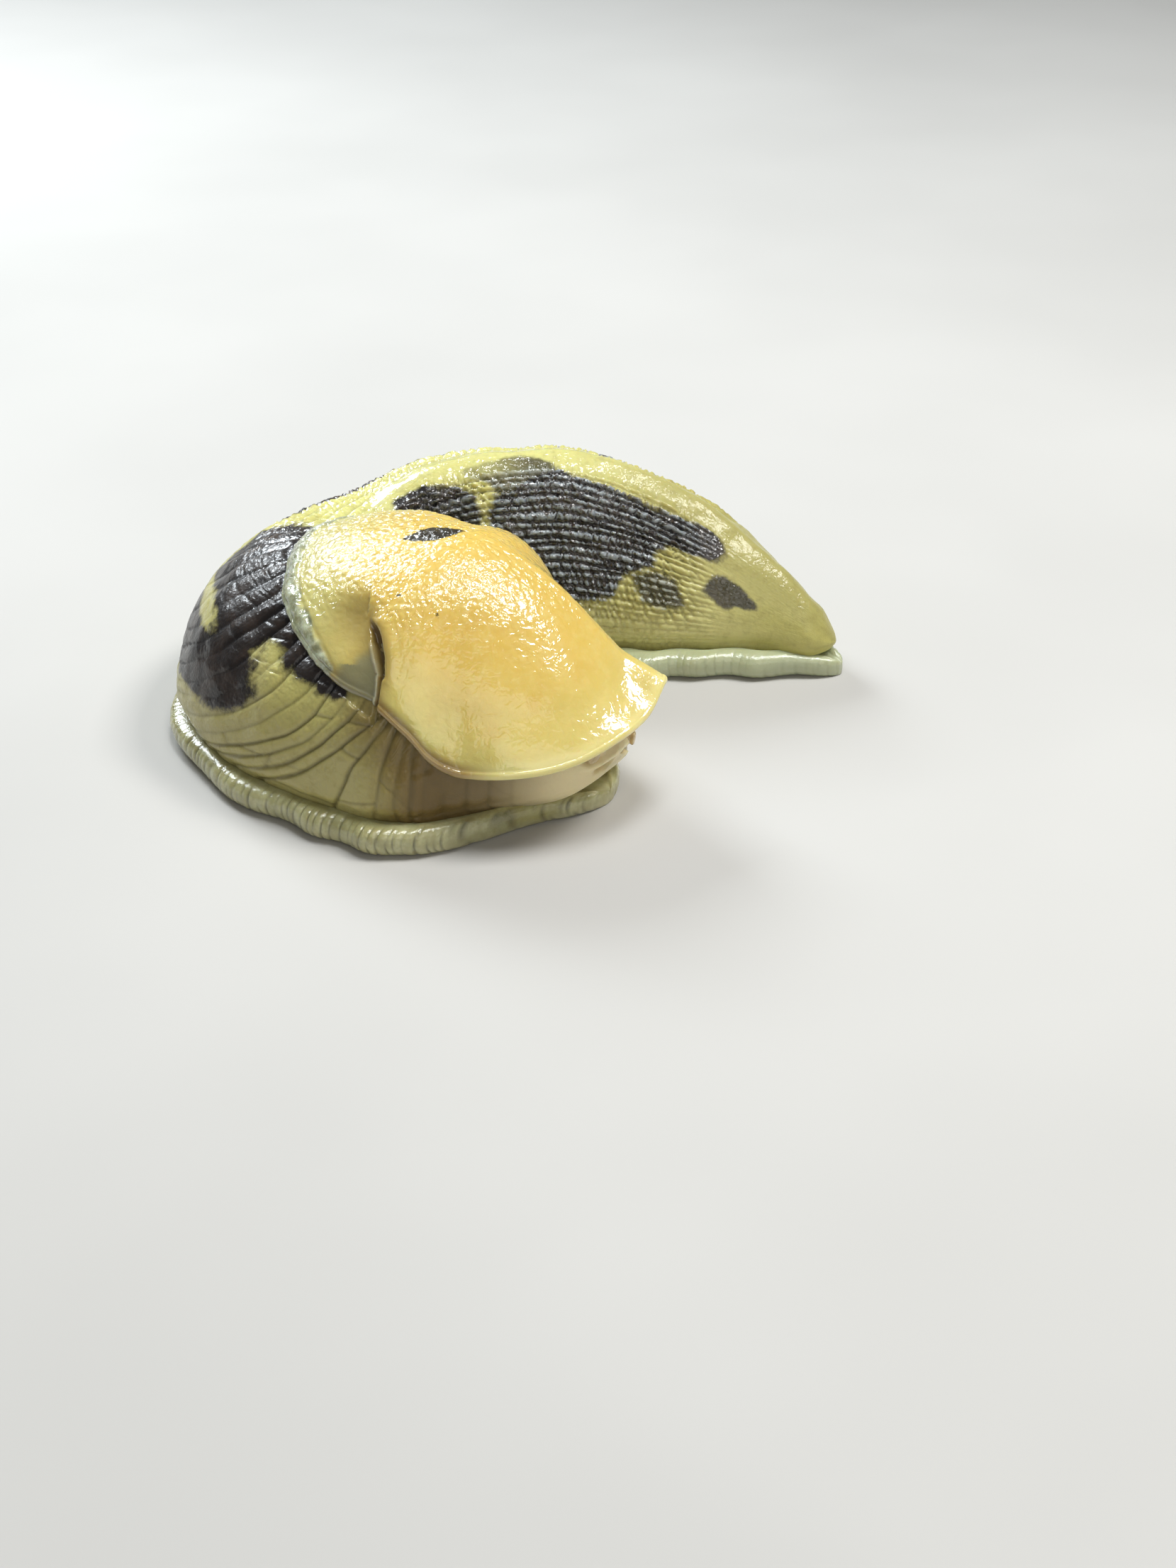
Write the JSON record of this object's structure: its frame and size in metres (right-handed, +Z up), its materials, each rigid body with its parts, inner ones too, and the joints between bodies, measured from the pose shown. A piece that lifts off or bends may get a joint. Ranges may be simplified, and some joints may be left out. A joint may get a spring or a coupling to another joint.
{
  "type": "banana slug",
  "caption": "Still life-size spotted banana slug, drawn in and curled to its left, with a domed mantle over the head, keeled tail and flat foot with a rim.",
  "frame": {"origin": "middle of the box round the slug, on the floor under its sole", "axes": "+Z up, +X towards the side where both the mantle hood and the tail tip point, -Y towards the open right side of the slug's front third"},
  "size_m": [0.079, 0.0676, 0.0282],
  "materials": {
    "mantle_skin": "wet glossy skin",
    "body_skin": "wet glossy furrowed skin",
    "head_skin": "wet glossy skin",
    "foot_skin": "wet glossy skin",
    "feeler_skin": "wet glossy skin"
  },
  "bodies": {
    "root": {"head": "head_skin", "neck": "head_skin", "trunk_front": "body_skin", "trunk_bend_front": "body_skin", "trunk_bend_rear": "body_skin", "trunk_rear": "body_skin", "tail": "body_skin", "tail_tip": "body_skin", "foot_front": "foot_skin", "foot_bend_front": "foot_skin", "foot_bend_rear": "foot_skin", "foot_rear": "foot_skin", "foot_tail": "foot_skin", "mantle": "mantle_skin", "eye_stalk_left": "feeler_skin", "eye_stalk_right": "feeler_skin", "lower_feeler_left": "feeler_skin", "lower_feeler_right": "feeler_skin"}
  },
  "joints": []
}
